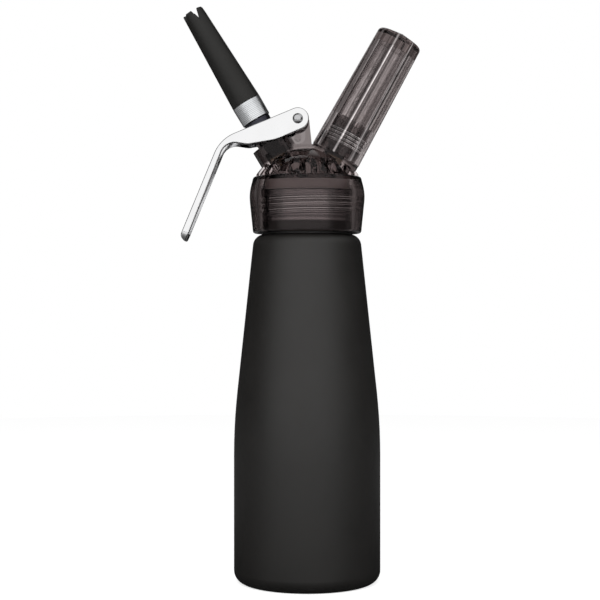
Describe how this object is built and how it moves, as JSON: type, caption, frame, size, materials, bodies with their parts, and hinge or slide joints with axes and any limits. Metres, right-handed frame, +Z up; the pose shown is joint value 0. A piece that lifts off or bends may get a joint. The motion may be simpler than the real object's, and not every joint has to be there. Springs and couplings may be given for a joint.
{
  "type": "whipped cream dispenser",
  "caption": "Hand whipper: black tapered bottle, smoked screw-on head with slanted valve, squeeze lever, star-mouthed nozzle and screw-on charger holder.",
  "frame": {"origin": "centre of the bottle's foot, on the surface it stands on", "axes": "+Z up the bottle's axis, +X towards the charger holder, -Y the front, with the lever's handle and the nozzle on the -X side"},
  "size_m": [0.1301, 0.08, 0.3147],
  "materials": {
    "black_paint": "matte black coat over drawn aluminium, bare at the thread",
    "smoked_plastic": "transparent, smoked grey-brown",
    "chrome": "polished chrome plate",
    "turned_metal": "fine turned lines",
    "black_plastic": "satin black",
    "steel": "plain steel",
    "brass": "machined brass",
    "silicone": "pale grey silicone",
    "black_rubber": "black rubber"
  },
  "bodies": {
    "bottle": {"bottle": "black_paint"},
    "head_gasket": {"head_gasket": "silicone"},
    "head": {"head_body": "smoked_plastic", "pivot_bush": "black_plastic", "valve_bush": "brass", "valve_spring": "steel", "gas_filter": "steel", "piercer_body": "brass", "piercing_needle": "steel", "piercer_o_ring": "black_rubber", "check_valve": "black_rubber", "check_valve_ring": "black_plastic"},
    "lever": {"lever": "chrome", "lever_pin": "steel", "lever_pin_clip": "steel"},
    "valve": {"valve_stem": "steel", "stem_o_rings": "black_rubber", "valve_seal": "black_rubber", "valve_nut": "steel", "spring_washer": "steel"},
    "nozzle_washer": {"nozzle_washer": "black_rubber"},
    "nozzle": {"nozzle_collar": "turned_metal", "nozzle_tip": "black_plastic"},
    "charger_seal": {"charger_seal": "black_rubber"},
    "charger_holder": {"charger_holder": "smoked_plastic"}
  },
  "joints": [
    {"name": "head_lift", "type": "slide", "parent": "bottle", "child": "head_gasket", "axis": [0, 0, 1], "range_m": [0, 0.012]},
    {"name": "head_turn", "type": "hinge", "parent": "head_gasket", "child": "head", "pos_m": [0, 0, 0.2], "axis": [0, 0, 1], "range_deg": [0, 1441]},
    {"name": "lever_pivot", "type": "hinge", "parent": "head", "child": "lever", "pos_m": [-0.0051, 0, 0.25244], "axis": [0, -1, 0], "range_deg": [0, 10.05], "stiffness_Nm_per_rad": 0.8, "springref_deg": -3.44},
    {"name": "valve_slide", "type": "slide", "parent": "head", "child": "valve", "axis": [0.509, 0, -0.8607], "range_m": [0, 0.00345], "deforming": ["valve_spring"]},
    {"name": "nozzle_travel", "type": "slide", "parent": "valve", "child": "nozzle_washer", "axis": [-0.509, 0, 0.8607], "range_m": [0, 0.006]},
    {"name": "nozzle_turn", "type": "hinge", "parent": "nozzle_washer", "child": "nozzle", "pos_m": [-0.03054, 0, 0.25755], "axis": [-0.509, 0, 0.8607], "range_deg": [0, 1441]},
    {"name": "holder_turn", "type": "hinge", "parent": "head", "child": "charger_seal", "pos_m": [0.01939, 0, 0.24049], "axis": [0.4848, 0, 0.8746], "range_deg": [0, 1801]},
    {"name": "holder_travel", "type": "slide", "parent": "charger_seal", "child": "charger_holder", "axis": [0.4848, 0, 0.8746], "range_m": [0, 0.01]}
  ],
  "couplings": [
    {"joint": "head_turn", "follows": "head_lift", "rad_per_m": 2094.4},
    {"joint": "lever_pivot", "follows": "valve_slide", "rad_per_m": 50.607},
    {"joint": "nozzle_turn", "follows": "nozzle_travel", "rad_per_m": 4188.8},
    {"joint": "holder_turn", "follows": "holder_travel", "rad_per_m": 3141.6}
  ]
}
